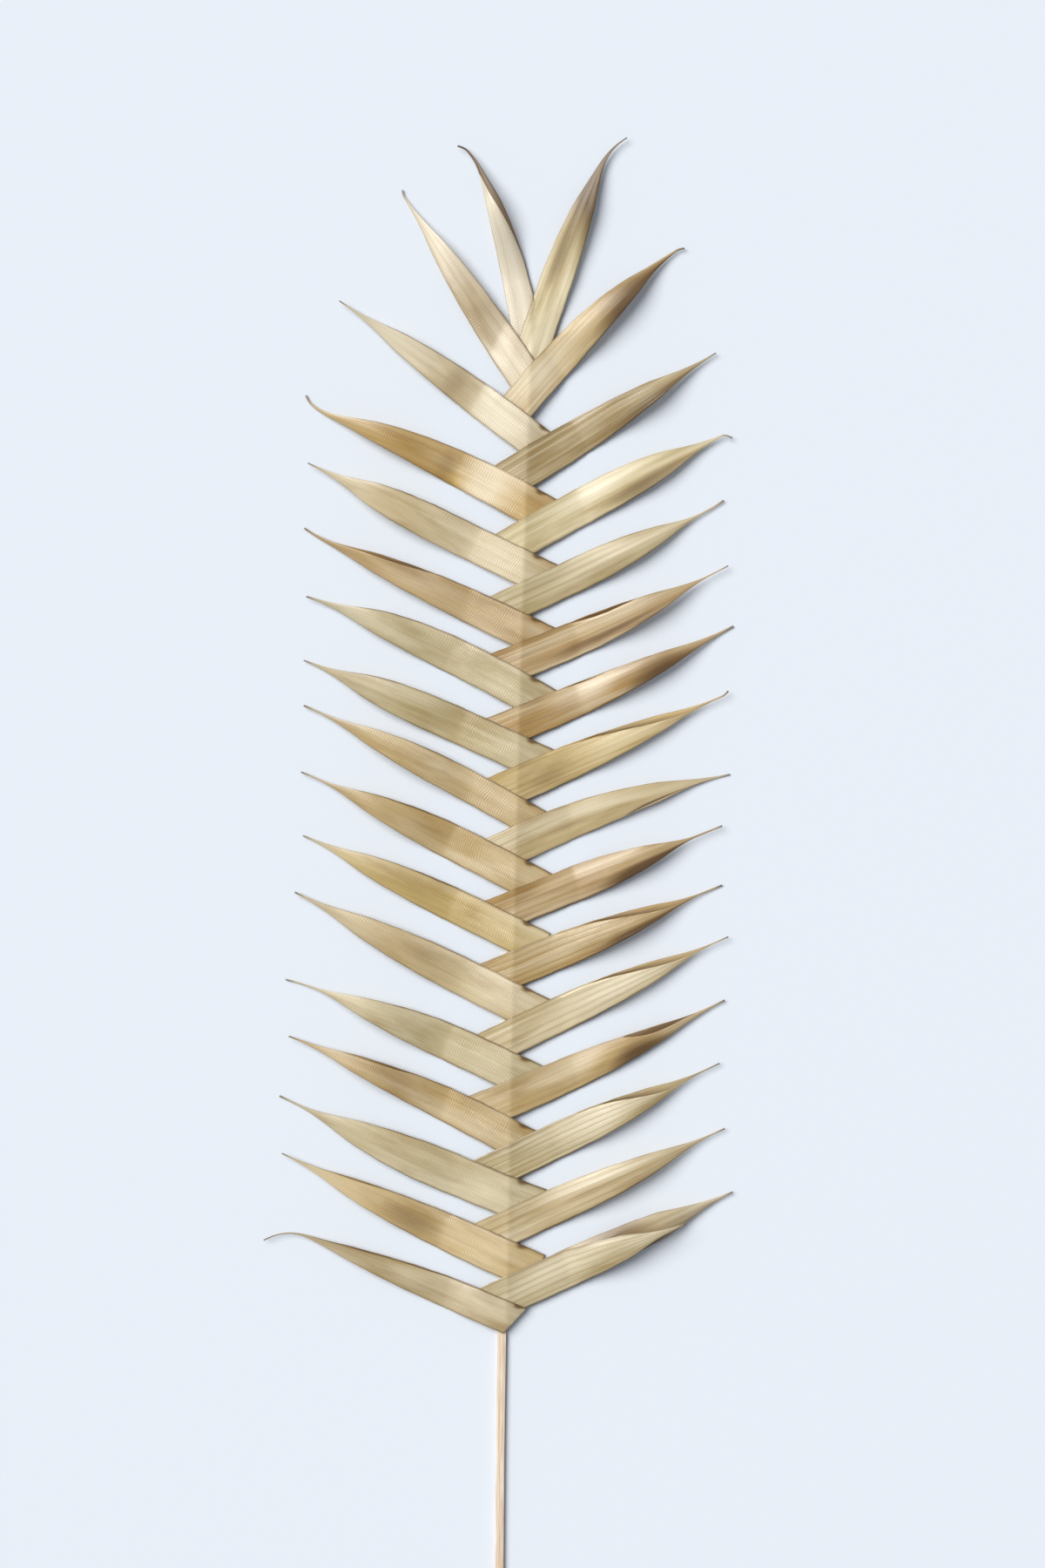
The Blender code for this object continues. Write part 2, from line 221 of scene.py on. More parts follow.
# Sizes in mm: height of the crossing on the stick; tip; how far the middle bows up and the tip flicks up;
# width; short end. Then shares of the length where it starts to narrow and where the whip starts; the tone;
# depth of the cross ripples, and depth and number of the lengthwise pleats.
Strip = namedtuple("Strip", "name at tip bow flick width tail full fine tone ripple pleat pleats")
STRIPS = (
    Strip("strip_left_01", 256.0, (-14.0, 345.6), 3.4, -3.6, 13.2, 9, 0.00, 1.00, "chalk", 0.04, 0.10, 2),
    Strip("strip_right_01", 240.8, (53.2, 349.9), 1.6, -6.0, 15.2, 6.5, 0.22, 1.00, "butter", 0.03, 0.10, 3),
    Strip("strip_left_02", 237.6, (-45.2, 323.6), 0.0, 0.0, 16.0, 10, 0.00, 1.00, "ivory", 0.06, 0.12, 3),
    Strip("strip_right_02", 228.8, (83.6, 298.8), 2.3, -1.0, 16.0, 16, 0.10, 1.00, "sand", 0.04, 0.12, 4),
    Strip("strip_left_03", 212.4, (-73.2, 273.2), 0.8, 0.0, 16.0, 16, 0.05, 1.00, "cream", 0.07, 0.08, 3),
    Strip("strip_right_03", 195.2, (99.6, 249.2), 0.0, 0.0, 17.6, 17, 0.00, 1.00, "olive", 0.03, 0.14, 6),
    Strip("strip_left_04", 181.2, (-90.8, 224.8), 2.9, 4.5, 17.4, 17, 0.00, 1.00, "amber", 0.08, 0.08, 3),
    Strip("strip_right_04", 163.2, (105.6, 212.8), 1.1, 0.0, 16.8, 17, 0.30, 1.00, "butter", 0.02, 0.10, 4),
    Strip("strip_left_05", 151.6, (-87.6, 198.8), 0.0, 0.0, 16.4, 17, 0.30, 1.00, "wheat", 0.08, 0.06, 3),
    Strip("strip_right_05", 135.2, (103.6, 180.8), -0.5, 1.0, 15.6, 17, 0.25, 0.88, "reed", 0.02, 0.10, 5),
    Strip("strip_left_06", 122.8, (-90.0, 167.6), 0.6, 1.6, 16.0, 17, 0.00, 1.00, "honey", 0.07, 0.06, 2),
    Strip("strip_right_06", 107.2, (105.2, 151.6), -1.6, 0.0, 16.4, 17, 0.15, 0.90, "honey", 0.03, 0.12, 4),
    Strip("strip_left_07", 95.6, (-88.4, 137.6), 2.7, 0.0, 16.8, 17, 0.20, 1.00, "linen", 0.09, 0.06, 3),
    Strip("strip_right_07", 78.4, (107.6, 124.0), -1.4, 0.0, 16.0, 17, 0.00, 1.00, "honey", 0.03, 0.12, 4),
    Strip("strip_left_08", 66.8, (-89.6, 108.4), 0.7, 0.0, 16.4, 17, 0.30, 1.00, "reed", 0.09, 0.06, 3),
    Strip("strip_right_08", 50.4, (105.6, 93.2), 0.0, 0.0, 16.8, 14, 0.00, 0.93, "straw", 0.03, 0.12, 4),
    Strip("strip_left_09", 39.6, (-89.6, 87.6), 1.3, 0.0, 14.4, 17, 0.20, 0.93, "corn", 0.14, 0.05, 2),
    Strip("strip_right_09", 22.8, (106.0, 56.0), 3.2, 0.0, 16.8, 17, 0.00, 1.00, "hay", 0.02, 0.06, 3),
    Strip("strip_left_10", 11.2, (-90.8, 57.2), 1.1, 0.0, 16.4, 17, 0.18, 0.92, "corn", 0.09, 0.06, 3),
    Strip("strip_right_10", -6.0, (102.4, 32.4), 0.0, 0.0, 16.2, 14, 0.25, 0.87, "honey", 0.03, 0.12, 4),
    Strip("strip_left_11", -16.4, (-90.0, 28.0), 0.6, 0.0, 15.8, 17, 0.15, 1.00, "straw", 0.09, 0.06, 3),
    Strip("strip_right_11", -34.4, (102.4, 5.2), 0.0, 0.0, 16.6, 17, 0.10, 0.90, "corn", 0.12, 0.20, 6),
    Strip("strip_left_12", -47.2, (-93.6, 2.0), 0.0, 0.0, 17.4, 17, 0.10, 1.00, "wheat", 0.08, 0.06, 3),
    Strip("strip_right_12", -65.6, (105.2, -18.4), 0.4, 0.0, 16.4, 17, 0.15, 0.93, "hay", 0.10, 0.14, 5),
    Strip("strip_left_13", -79.2, (-97.6, -37.2), 1.5, -1.0, 17.2, 17, 0.15, 0.88, "linen", 0.08, 0.06, 3),
    Strip("strip_right_13", -93.6, (103.6, -47.6), -1.2, 0.0, 16.8, 17, 0.00, 0.97, "corn", 0.03, 0.12, 4),
    Strip("strip_left_14", -109.2, (-96.4, -64.0), 1.7, 0.0, 16.4, 17, 0.00, 1.00, "corn", 0.14, 0.05, 3),
    Strip("strip_right_14", -123.2, (101.2, -76.4), 0.0, 0.0, 16.4, 17, 0.15, 0.92, "reed", 0.10, 0.20, 6),
    Strip("strip_left_15", -136.8, (-100.8, -91.6), -1.0, 0.0, 18.6, 17, 0.20, 0.92, "linen", 0.07, 0.08, 4),
    Strip("strip_right_15", -152.8, (103.6, -106.4), 0.0, 0.0, 16.4, 17, 0.15, 0.95, "wheat", 0.05, 0.12, 5),
    Strip("strip_left_16", -165.6, (-99.6, -117.6), -0.6, 0.0, 17.8, 17, 0.00, 1.00, "sand", 0.08, 0.08, 4),
    Strip("strip_right_16", -182.4, (107.2, -135.6), 0.0, 0.0, 14.4, 4, 0.48, 1.00, "cream", 0.02, 0.08, 3),
    Strip("strip_right_17", -184.0, (85.2, -149.6), 0.9, 0.0, 17.2, 12, 0.20, 1.00, "linen", 0.05, 0.20, 6),
    Strip("strip_left_17", -192.0, (-104.6, -149.2), 0.4, -9.0, 14.8, 9, 0.00, 0.90, "olive", 0.06, 0.08, 3),
)

# The strips' own colours: pale leaf such as chalk and ivory, golden leaf such as amber and honey.
TONES = {
    "amber": "deba6c",
    "butter": "eee0b0",
    "chalk": "d8ccb8",
    "corn": "d3b678",
    "cream": "e5d5b0",
    "hay": "d8c490",
    "honey": "c6a15a",
    "ivory": "ecddc0",
    "linen": "d8ca9e",
    "olive": "c0aa76",
    "reed": "cebd8a",
    "sand": "e5cb92",
    "straw": "ddc37c",
    "wheat": "e4d1a4",
}

# How each strip is divided into faces: rows along it, and columns across its front and its turned-in part.
STRIP_ROWS = 230
FRONT_COLUMNS = 16
INSIDE_COLUMNS = 7
STRIP_THICKNESS = 0.34 * MM

# The outline: the width falls from the root to the whip, and the last part is thinner still. A tip can
# flick up or down, and its very end can be hooked.
WHIP_WIDTH = 1.2 * MM
FALL_START_POWER = 2.5
FALL_END_POWER = 1.5
THIN_START = 0.66
THIN = 0.66
RAGGED_COARSE, RAGGED_FINE = 0.008, 0.004
FLICK_START = 0.8
HOOK_START = 0.965
HOOKS = {
    "strip_right_02": -1.2 * MM,
    "strip_right_04": -3.0 * MM,
    "strip_left_01": -1.6 * MM,
    "strip_left_02": 1.2 * MM,
    "strip_left_04": 1.2 * MM,
    "strip_right_08": 1.2 * MM,
}

# The last strip's short end is cut on a slant, its lower corner this far short of the upper one.
SLANTS = {"strip_left_17": 5.5 * MM}
SLANT_REACH = 30 * MM

# Heights: every strip is creased over a ridge at the stick's right edge, lies a layer over those below it,
# and arches from there to its tip. It is a little domed across and turns over towards its tip.
RIDGE_HEIGHT = 2.4 * MM
RIDGE_ASIDE = 2.0 * MM
RIDGE_LEFT = 20 * MM
RIDGE_RIGHT = 11 * MM
RIDGE_ROUND = 0.4 * MM
LAYER = 0.85 * MM
LAYER_FALL = 17 * MM
STRIPS_BELOW = 5
OUTLINE_SAMPLES = 64
OUTLINE_SOFT = 0.8 * MM
ARCH_START_MEAN, ARCH_START_VARY = 18 * MM, 10 * MM
ARCH_MEAN, ARCH_VARY = 4.5 * MM, 1.8 * MM
TIP_MEAN, TIP_VARY = 1.6 * MM, 1.4 * MM
CHANNEL_START_MEAN, CHANNEL_START_VARY = 16 * MM, 8 * MM
CHANNEL_REACH = 32 * MM
CHANNEL_MEAN, CHANNEL_VARY = 0.9 * MM, 0.5 * MM
ROLL_START, ROLL_REACH = 0.45, 0.4
ROLL_MEAN, ROLL_VARY = 0.1, 0.45
FREE_START, FREE_REACH = 18 * MM, 25 * MM
TILT = 0.6 * MM
EDGE_WAVE = 0.2 * MM
PLEAT_SWAY = 0.25
CLEARANCE = 0.1 * MM

# The last right strip lies along the one before it for most of its length, so it is held up a little more.
LIFTS = {"strip_right_17": 0.6 * MM}
LIFT_START = 12 * MM
LIFT_REACH = 20 * MM

# Where a blade's edge is turned in, its inner face shows behind the front one. The line between them leaves
# the edge at the share first and comes back to it, or crosses to the other edge, at the share last. Deep is
# how far it goes in, in half widths; crosses is the power of the curve on which it goes right across, or 0;
# side is 1 for the upper edge and -1 for the lower; tone is how much lighter or darker the inner face is
# made towards the fold's end, and the dark tones of the right strips' pockets are painted shade.
Fold = namedtuple("Fold", "first last deep crosses side tone", defaults=(0.1,))
NO_FOLD = Fold(2.0, 3.0, 0.0, 0, 1)
FOLDS = {
    "strip_left_01": Fold(0.10, 0.84, 0.0, 3.6, 1, -1.3),
    "strip_left_06": Fold(0.38, 0.96, 0.36, 0, 1),
    "strip_left_10": Fold(0.30, 0.76, 0.12, 0, 1),
    "strip_left_11": Fold(0.16, 0.60, 0.10, 0, 1),
    "strip_left_14": Fold(0.42, 0.80, 0.24, 0, 1),
    "strip_left_16": Fold(0.50, 0.92, 0.22, 0, 1),
    "strip_left_17": Fold(0.10, 0.74, 0.14, 0, 1),
    "strip_right_06": Fold(0.26, 0.60, 0.26, 0, 1, -0.6),
    "strip_right_07": Fold(0.20, 0.44, 0.12, 0, 1, -0.6),
    "strip_right_08": Fold(0.16, 0.92, 0.0, 2.2, 1),
    "strip_right_09": Fold(0.50, 0.90, 0.36, 0, -1),
    "strip_right_11": Fold(0.24, 0.88, 0.0, 2.2, 1),
    "strip_right_12": Fold(0.26, 0.92, 0.0, 2.2, 1),
    "strip_right_13": Fold(0.54, 0.90, 0.80, 0, 1, -0.9),
    "strip_right_14": Fold(0.36, 0.82, 0.0, 2.2, 1),
}
FOLD_DEPTH = 1.1 * MM
FOLD_LIP = 0.15 * MM
FOLD_LIP_REACH = 0.2
FOLD_EASE = 0.08
FOLD_LIMIT = 0.95
FOLD_GAP = 0.01
# Painted shade in a turned-in part, darkest beside the fold.
POCKET_PAINTED_SHADE = -1.5

# Painted light and shade that all the strips of one side share. A left strip has painted shade in the notch
# that the strip before it leaves right of the stick and along its short end, where it passes under the next
# strip, and a painted highlight left of the stick, where its crease over the ridge faces the light. A right
# strip has painted shade along its lower edge towards the tip, where it turns away from the light.
NOTCH_PLACE = 5 * MM
NOTCH_LENGTH = 2.6 * MM
NOTCH_EDGE, NOTCH_EASE = 0.62, 0.3
NOTCH_PAINTED_SHADE = -1.1
END_LENGTH = 3 * MM
END_EDGE, END_EASE = 0.8, 0.15
END_PAINTED_SHADE = -0.45
ROOT_PLACE = 10 * MM
ROOT_LENGTH = 16 * MM
ROOT_PAINTED_LIGHT = 0.2
LOWER_START, LOWER_REACH = 0.3, 0.3
LOWER_EDGE = 0.9
LOWER_PAINTED_SHADE = -0.38

# Marks that one blade has and its neighbours haven't: the strip, the mark's middle and half length in shares
# of the blade, its middle and half width across it, and how much lighter or, below 0, darker it is. Some are
# paler and darker leaf; others are painted sheen where a blade's face tilts to the light, and painted shade
# where it tilts away or bends.
MARK_STRENGTH = 1.35
MARK_EDGE = 1.4
MARKS_AND_PAINTED_LIGHT = (
    ("strip_left_01", 0.45, 0.60, -0.4, 1.6, 0.7),
    ("strip_right_01", 0.40, 0.25, 0.3, 0.6, -0.5),
    ("strip_right_01", 0.14, 0.22, 0.0, 1.2, 0.6),
    ("strip_right_01", 0.88, 0.28, 0.0, 3.0, -1.1),
    ("strip_left_02", 0.38, 0.18, 0.0, 3.0, -0.35),
    ("strip_left_02", 0.74, 0.30, 0.2, 2.0, 0.6),
    ("strip_left_02", 0.08, 0.16, 0.2, 2.0, 0.1),
    ("strip_right_02", 0.72, 0.36, -0.2, 1.8, -0.6),
    ("strip_right_02", 0.10, 0.16, 0.2, 1.4, 0.45),
    ("strip_right_02", 0.26, 0.24, 0.2, 0.5, 0.4),
    ("strip_left_03", 0.38, 0.13, 0.0, 3.0, -0.38),
    ("strip_left_03", 0.74, 0.26, 0.0, 3.0, 0.6),
    ("strip_left_03", 0.14, 0.14, 0.0, 3.0, 0.5),
    ("strip_right_03", 0.70, 0.30, -0.5, 0.8, -0.35),
    ("strip_left_04", 0.55, 0.32, 0.0, 3.0, -0.25),
    ("strip_left_04", 0.17, 0.11, 0.0, 3.0, 0.75),
    ("strip_left_04", 0.33, 0.07, -0.3, 2.0, -0.22),
    ("strip_right_04", 0.38, 0.24, 0.45, 0.6, 0.75),
    ("strip_right_04", 0.55, 0.34, -0.35, 0.6, -0.4),
    ("strip_right_05", 0.45, 0.35, 0.3, 0.8, 0.4),
    ("strip_left_06", 0.35, 0.30, -0.5, 0.9, 0.2),
    ("strip_right_06", 0.35, 0.35, -0.45, 0.3, -0.5),
    ("strip_right_06", 0.45, 0.30, 0.45, 0.5, 0.4),
    ("strip_left_07", 0.30, 0.25, 0.2, 1.2, -0.2),
    ("strip_right_07", 0.66, 0.20, -0.3, 1.2, -0.5),
    ("strip_right_07", 0.34, 0.14, 0.2, 1.4, 0.4),
    ("strip_left_08", 0.25, 0.20, 0.2, 1.2, -0.2),
    ("strip_right_08", 0.15, 0.18, -0.3, 0.8, -0.35),
    ("strip_right_08", 0.55, 0.25, -0.1, 0.8, 0.3),
    ("strip_right_09", 0.40, 0.30, 0.3, 0.5, 0.6),
    ("strip_right_09", 0.28, 0.24, -0.1, 0.3, -0.5),
    ("strip_left_10", 0.34, 0.24, 0.2, 1.4, -0.22),
    ("strip_right_10", 0.62, 0.26, -0.7, 0.7, -0.6),
    ("strip_right_10", 0.55, 0.25, 0.5, 0.6, 0.3),
    ("strip_left_11", 0.44, 0.26, 0.2, 1.6, -0.26),
    ("strip_left_12", 0.42, 0.26, 0.1, 1.4, -0.3),
    ("strip_right_11", 0.58, 0.30, -0.8, 0.5, -0.5),
    ("strip_right_12", 0.50, 0.32, 0.1, 1.3, 0.8),
    ("strip_right_13", 0.58, 0.16, -0.4, 1.0, -0.55),
    ("strip_right_13", 0.32, 0.18, 0.3, 0.9, 0.4),
    ("strip_left_14", 0.55, 0.24, 0.2, 1.6, -0.3),
    ("strip_right_14", 0.44, 0.26, 0.1, 1.3, 0.8),
    ("strip_left_15", 0.35, 0.30, 0.0, 1.4, -0.15),
    ("strip_right_15", 0.45, 0.30, 0.5, 0.4, 0.75),
    ("strip_right_15", 0.45, 0.36, 0.05, 0.2, -0.5),
    ("strip_left_16", 0.40, 0.24, -0.2, 1.2, -0.4),
    ("strip_right_16", 0.50, 0.22, 0.0, 3.0, -0.6),
    ("strip_right_17", 0.32, 0.30, 0.3, 1.0, 0.6),
    ("strip_left_17", 0.42, 0.12, 0.2, 1.0, 0.35),
    ("strip_left_17", 0.62, 0.24, 0.2, 1.2, -0.2),
    ("strip_left_17", 0.62, 0.24, 1.0, 0.25, -0.8),
)


def smooth(share):
    """A share of a change, eased at both ends: 3 s squared less 2 s cubed."""
    share = np.clip(share, 0, 1)
    return share * share * (3 - 2 * share)


def vary(number, turn):
    """An even spread of values from -1 to 1 over the strips' numbers: a sine of the number."""
    return np.sin(number * turn + 1)


def drape(points):
    """Height of a ribbon creased over the stick: it dies out on an exponential curve on each side of a
    ridge over the stick's right edge, faster to the right, and in the same way past the stick's top."""
    x, y = points[..., 0], points[..., 1]
    past = np.maximum(y - STICK_TOP[1], 0)
    aside = x - stick_centre(y) - RIDGE_ASIDE
    reach = np.where(aside < 0, RIDGE_LEFT, RIDGE_RIGHT)
    away = np.hypot(np.sqrt(aside**2 + RIDGE_ROUND**2) - RIDGE_ROUND, past)
    return RIDGE_HEIGHT * np.exp(-away / reach)


def chord(strip):
    """Where a strip crosses the stick, the vector to its tip, and the upward unit vector across it."""
    start = np.array((stick_centre(strip.at * MM), strip.at * MM))
    along = np.array(strip.tip) * MM - start
    up = np.array((-along[1], along[0])) / np.hypot(*along)
    return start, along, up if up[1] > 0 else -up


def centre_line(strip, share):
    """A strip's middle: a parabola from the stick to the tip, with a flick at its end on a cube and a last
    hook on a square, and straight past the stick."""
    start, along, up = chord(strip)
    bow = 4 * strip.bow * MM * np.where(share > 0, share * (1 - share), share)
    flick = strip.flick * MM * np.clip((share - FLICK_START) / (1 - FLICK_START), 0, 1) ** 3
    hook = HOOKS.get(strip.name, 0) * np.clip((share - HOOK_START) / (1 - HOOK_START), 0, 1) ** 2
    return start + share[:, None] * along + (bow + flick + hook)[:, None] * up


def half_width(strip, share):
    """Half a strip's width: steady at the root, then narrowing on a power curve to the whip."""
    fall = np.clip((share - strip.full) / (strip.fine - strip.full), 0, 1)
    width = strip.width * MM
    return ((width - WHIP_WIDTH) * (1 - fall**FALL_START_POWER) ** FALL_END_POWER + WHIP_WIDTH) / 2


def length(strip):
    """A strip's length from the stick to its tip: the length of its chord."""
    return np.hypot(*chord(strip)[1])


def ragged(number, along):
    """How a torn edge wavers, as a factor on the width: two sines along it, one coarse and one fine."""
    coarse = RAGGED_COARSE * np.sin(along * 410 + number)
    return 1 + coarse + RAGGED_FINE * np.sin(along * 1130 + 3 * number)


def arch(number, share):
    """How far a blade stands off what it lies on: one hump from root to tip on a squared sine, and a tip
    that is lifted a little on a cube."""
    start = (ARCH_START_MEAN + ARCH_START_VARY * vary(number, 5.3)) / length(STRIPS[number])
    blade = np.clip((share - start) / (1 - start), 0, 1)
    hump = (ARCH_MEAN + ARCH_VARY * vary(number, 2.4)) * np.sin(np.pi * blade) ** 2
    return hump + (TIP_MEAN + TIP_VARY * vary(number, 1.7)) * blade**3


def roll(number, share):
    """How far a blade turns over towards its tip, as an angle."""
    return (ROLL_MEAN + ROLL_VARY * vary(number, 3.1)) * smooth((share - ROLL_START) / ROLL_REACH)


def channel(number, share):
    """How far a blade's middle stands over its edges, once it is clear of the weave."""
    strip = STRIPS[number]
    start = CHANNEL_START_MEAN + CHANNEL_START_VARY * vary(number, 7.1)
    free = smooth((share * length(strip) - start) / CHANNEL_REACH)
    depth = CHANNEL_MEAN + CHANNEL_VARY * vary(number, 4.3)
    return depth * free * half_width(strip, share) / (strip.width * MM / 2)


def crest(number, share):
    """The highest that a blade stands, over its whole width."""
    turned = 2 * half_width(STRIPS[number], share) * np.abs(np.sin(roll(number, share)))
    return arch(number, share) + channel(number, share) + turned


def near(points, number):
    """How near the points are to a strip's outline, from 1 on it to 0 at LAYER_FALL from it, and its crest
    there: a mean in which the outline's nearest samples weigh most, so that it has no steps."""
    strip = STRIPS[number]
    first = (strip.width / 4 - strip.tail) * MM / length(strip)
    share = np.linspace(first, 1, OUTLINE_SAMPLES)
    gaps = np.linalg.norm(points[..., None, :] - centre_line(strip, share), axis=-1)
    gaps = gaps - half_width(strip, share)
    gap = np.min(gaps, axis=-1)
    weight = np.exp((gap[..., None] - gaps) / OUTLINE_SOFT)
    return 1 - smooth(gap / LAYER_FALL), weight @ crest(number, share) / np.sum(weight, axis=-1)


def both(held, arched):
    """The height of a blade that is held up and arches too: a little over the larger of the two."""
    return (held**4 + arched**4) ** 0.25


def rise(points, number):
    """How high the strips woven in before hold this one: each lies a LAYER over the ones near it below."""
    heights = {}
    nearness = {}
    for strip in range(max(0, number - STRIPS_BELOW), number + 1):
        held = [(heights[below] + LAYER) * nearness[below] for below in heights]
        heights[strip] = np.max(held, axis=0) if held else np.zeros(points.shape[:-1])
        if strip < number:
            nearness[strip], crested = near(points, strip)
            heights[strip] = both(heights[strip], crested)
    return heights[number]


def fold_columns(fold, share):
    """Where each column lies across the blade, whether it is turned in, its way from the fold to the edge,
    how far the fold has run along the blade, and the line between the faces. That line goes in and out on
    a sine or crosses on a power curve, and the columns are spread evenly on each side of it."""
    run = np.clip((share - fold.first) / (fold.last - fold.first), 0, 1)[:, None]
    line = 1 - fold.deep * np.sin(np.pi * run) - 2 * (fold.crosses > 0) * run ** max(fold.crosses, 1)
    line = np.clip(line, -FOLD_LIMIT, FOLD_LIMIT)
    front = -1 + (line - FOLD_GAP + 1) * np.linspace(0, 1, FRONT_COLUMNS)
    way = np.linspace(0, 1, INSIDE_COLUMNS)
    inside = line + FOLD_GAP + (1 - line - FOLD_GAP) * way
    across = np.concatenate([front, inside], axis=1) * fold.side
    behind = np.concatenate([np.zeros_like(front), np.ones_like(inside)], axis=1)
    way = np.concatenate([np.zeros_like(front), np.broadcast_to(way, inside.shape)], axis=1)
    showing = smooth(np.minimum(run, 1 - run if not fold.crosses else 1.0) / FOLD_EASE)
    return across, behind * showing, way, run, line


def relief(number, along, across):
    """What stands out of a dried blade's face: pleats are rectified sines across it, and once it is clear
    of the weave its tilt and its edges wave slowly along it."""
    strip = STRIPS[number]
    drift = number * 2.1
    free = smooth((along - FREE_START) / FREE_REACH)
    pleat = np.abs(np.sin(np.pi * strip.pleats * (across + 1) / 2 + PLEAT_SWAY * np.sin(along * 60 + drift)))
    height = strip.pleat * MM * (pleat - 0.5)
    height = height + TILT * np.sin(along * 75 + drift) * across * free
    return height + EDGE_WAVE * np.sin(along * 170 + 1.7 * drift) * across**3 * free


def fold_relief(fold, across, behind, way, run, line):
    """The turned-in part: its floor lies FOLD_DEPTH under the front face and climbs to the edge, and the
    front face has a small lip along it. Both fade out towards the end of the fold."""
    fade = np.sqrt(np.clip(1 - run, 0, 1)) if fold.crosses else np.sin(np.pi * run)
    gap = np.clip(line - across * fold.side, 0, 2)
    lip = FOLD_LIP * np.exp(-gap / FOLD_LIP_REACH) * (1 - behind) * (run > 0)
    return fade * (lip - FOLD_DEPTH * behind * (1 - way))


def strip_tone_and_light(strip, fold, share, across, behind, way, run):
    """How much lighter or, below 0, darker each point of a strip is painted: bell curves for its marks,
    which are paler and darker leaf and painted sheen and shade, eased steps for the painted light and shade
    that its whole side shares, and painted shade in a turned-in part, darkest beside the fold."""
    along = share * length(strip)
    # Painted shade in the turned-in part, darkest beside the fold, and the inner face's tone towards the
    # fold's end, painted shade in the right strips' pockets.
    shade = POCKET_PAINTED_SHADE * behind * (1 - way) ** 0.5 * (1 - run) ** 0.5 + fold.tone * behind * run
    if strip.tip[0] < 0:
        # Painted shade in the notch right of the stick and along the short end under the next strip, and a
        # painted highlight where the crease left of the stick faces the light.
        crossing = np.exp(-(((along + NOTCH_PLACE) / NOTCH_LENGTH) ** 2))
        short_end = smooth(-(along + NOTCH_PLACE) / END_LENGTH)
        shade = shade + NOTCH_PAINTED_SHADE * smooth((across - NOTCH_EDGE) / NOTCH_EASE) * crossing
        shade = shade + END_PAINTED_SHADE * short_end * smooth((across - END_EDGE) / END_EASE)
        shade = shade + ROOT_PAINTED_LIGHT * np.exp(-(((along - ROOT_PLACE) / ROOT_LENGTH) ** 2))
    else:
        # Painted shade along the lower edge towards the tip, where the blade turns away from the light.
        towards_tip = smooth((share - LOWER_START) / LOWER_REACH)
        shade = shade + LOWER_PAINTED_SHADE * smooth(-across / LOWER_EDGE) * towards_tip * (1 - behind)
    # The blade's own marks: paler and darker leaf, painted sheen and painted shade.
    for name, middle_share, half_length, middle_across, half_across, amount in MARKS_AND_PAINTED_LIGHT:
        if name == strip.name:
            away = ((share - middle_share) / half_length) ** 2
            away = away + ((across - middle_across) / half_across) ** 2
            shade = shade + MARK_STRENGTH * amount * np.exp(-MARK_EDGE * away) * (1 - behind)
    return shade


def strip_surface(number):
    """The under face of a strip as a grid, rows along it and columns across it: its centre line, its half
    width times the unit vector across, the height that the weave and its arch give it, and its relief. With
    it go its place along and across the blade, its marks together with its painted light and shade, and
    which part of it is turned in."""
    strip = STRIPS[number]
    fold = FOLDS.get(strip.name, NO_FOLD)
    reach = length(strip)
    share = np.linspace(-strip.tail * MM / reach, 1, STRIP_ROWS)
    middle = centre_line(strip, share)
    tangent = np.gradient(middle, share, axis=0)
    tangent /= np.linalg.norm(tangent, axis=1)[:, None]
    up = np.stack([-tangent[:, 1], tangent[:, 0]], axis=1)
    up *= np.sign(up[:, 1:])
    across, behind, way, run, line = fold_columns(fold, share)
    half = half_width(strip, share)[:, None]
    turn = roll(number, share)[:, None]
    arched = arch(number, share)[:, None]
    domed = channel(number, share)[:, None] * (1 - across**2)
    share = share[:, None]
    along = share * reach

    half = half * (1 - THIN * smooth((share - THIN_START) / (1 - THIN_START)))
    offset = half * ragged(number, along) * np.cos(turn) * across
    cut = smooth(1 - (along - along[0]) / SLANT_REACH)
    slant = SLANTS.get(strip.name, 0) * (1 - across) / 2 * cut
    flat = middle[:, None, :] + offset[..., None] * up[:, None, :] + slant[..., None] * tangent[:, None, :]

    height = drape(flat) + both(rise(flat, number), arched)
    height += domed
    height += half * (np.abs(np.sin(turn)) + np.sin(turn) * across)
    height += LIFTS.get(strip.name, 0) * smooth((along - LIFT_START) / LIFT_REACH)
    full = half / (strip.width * MM / 2)
    raised = relief(number, along, across) + fold_relief(fold, across, behind, way, run, line)
    height += full * raised + CLEARANCE
    points = np.concatenate([flat, np.maximum(height, 0)[..., None]], axis=-1)
    uv = np.stack(np.broadcast_arrays(along + number * 0.2, half * across), axis=-1)
    # Painted light and shade, with the blade's marks, as one value a vertex.
    shade = strip_tone_and_light(strip, fold, share, across, behind, way, run)
    marks = {"across": across, "along": share + 0 * across, "shade": shade, "inside": behind}
    return points, uv, marks


# The leaf's finish: the length of its cross ripples, how far every tone is bleached towards grey, and the
# colours of stains and of the painted shade in pockets and notches, of greyed blade, of its dry edges with
# their painted shade, of its dark end and of pale leaf and painted highlights.
RIPPLE_LENGTH = 1.08 * MM
BLEACHED = "cfc3ad"
BLEACH = 0.1
STAIN_AND_SHADE = "5d4426"
GREYED = "b8ab92"
DRY_EDGE_AND_SHADE = "6b4d2c"
DARK_END = "5e5148"
PALE_LEAF_AND_HIGHLIGHT = "f9eed4"


def group_socket(group, name, kind, direction, value=None):
    """Adds one named input or output to a node group."""
    socket = group.interface.new_socket(name=name, in_out=direction, socket_type=kind)
    if value is not None:
        socket.default_value = value


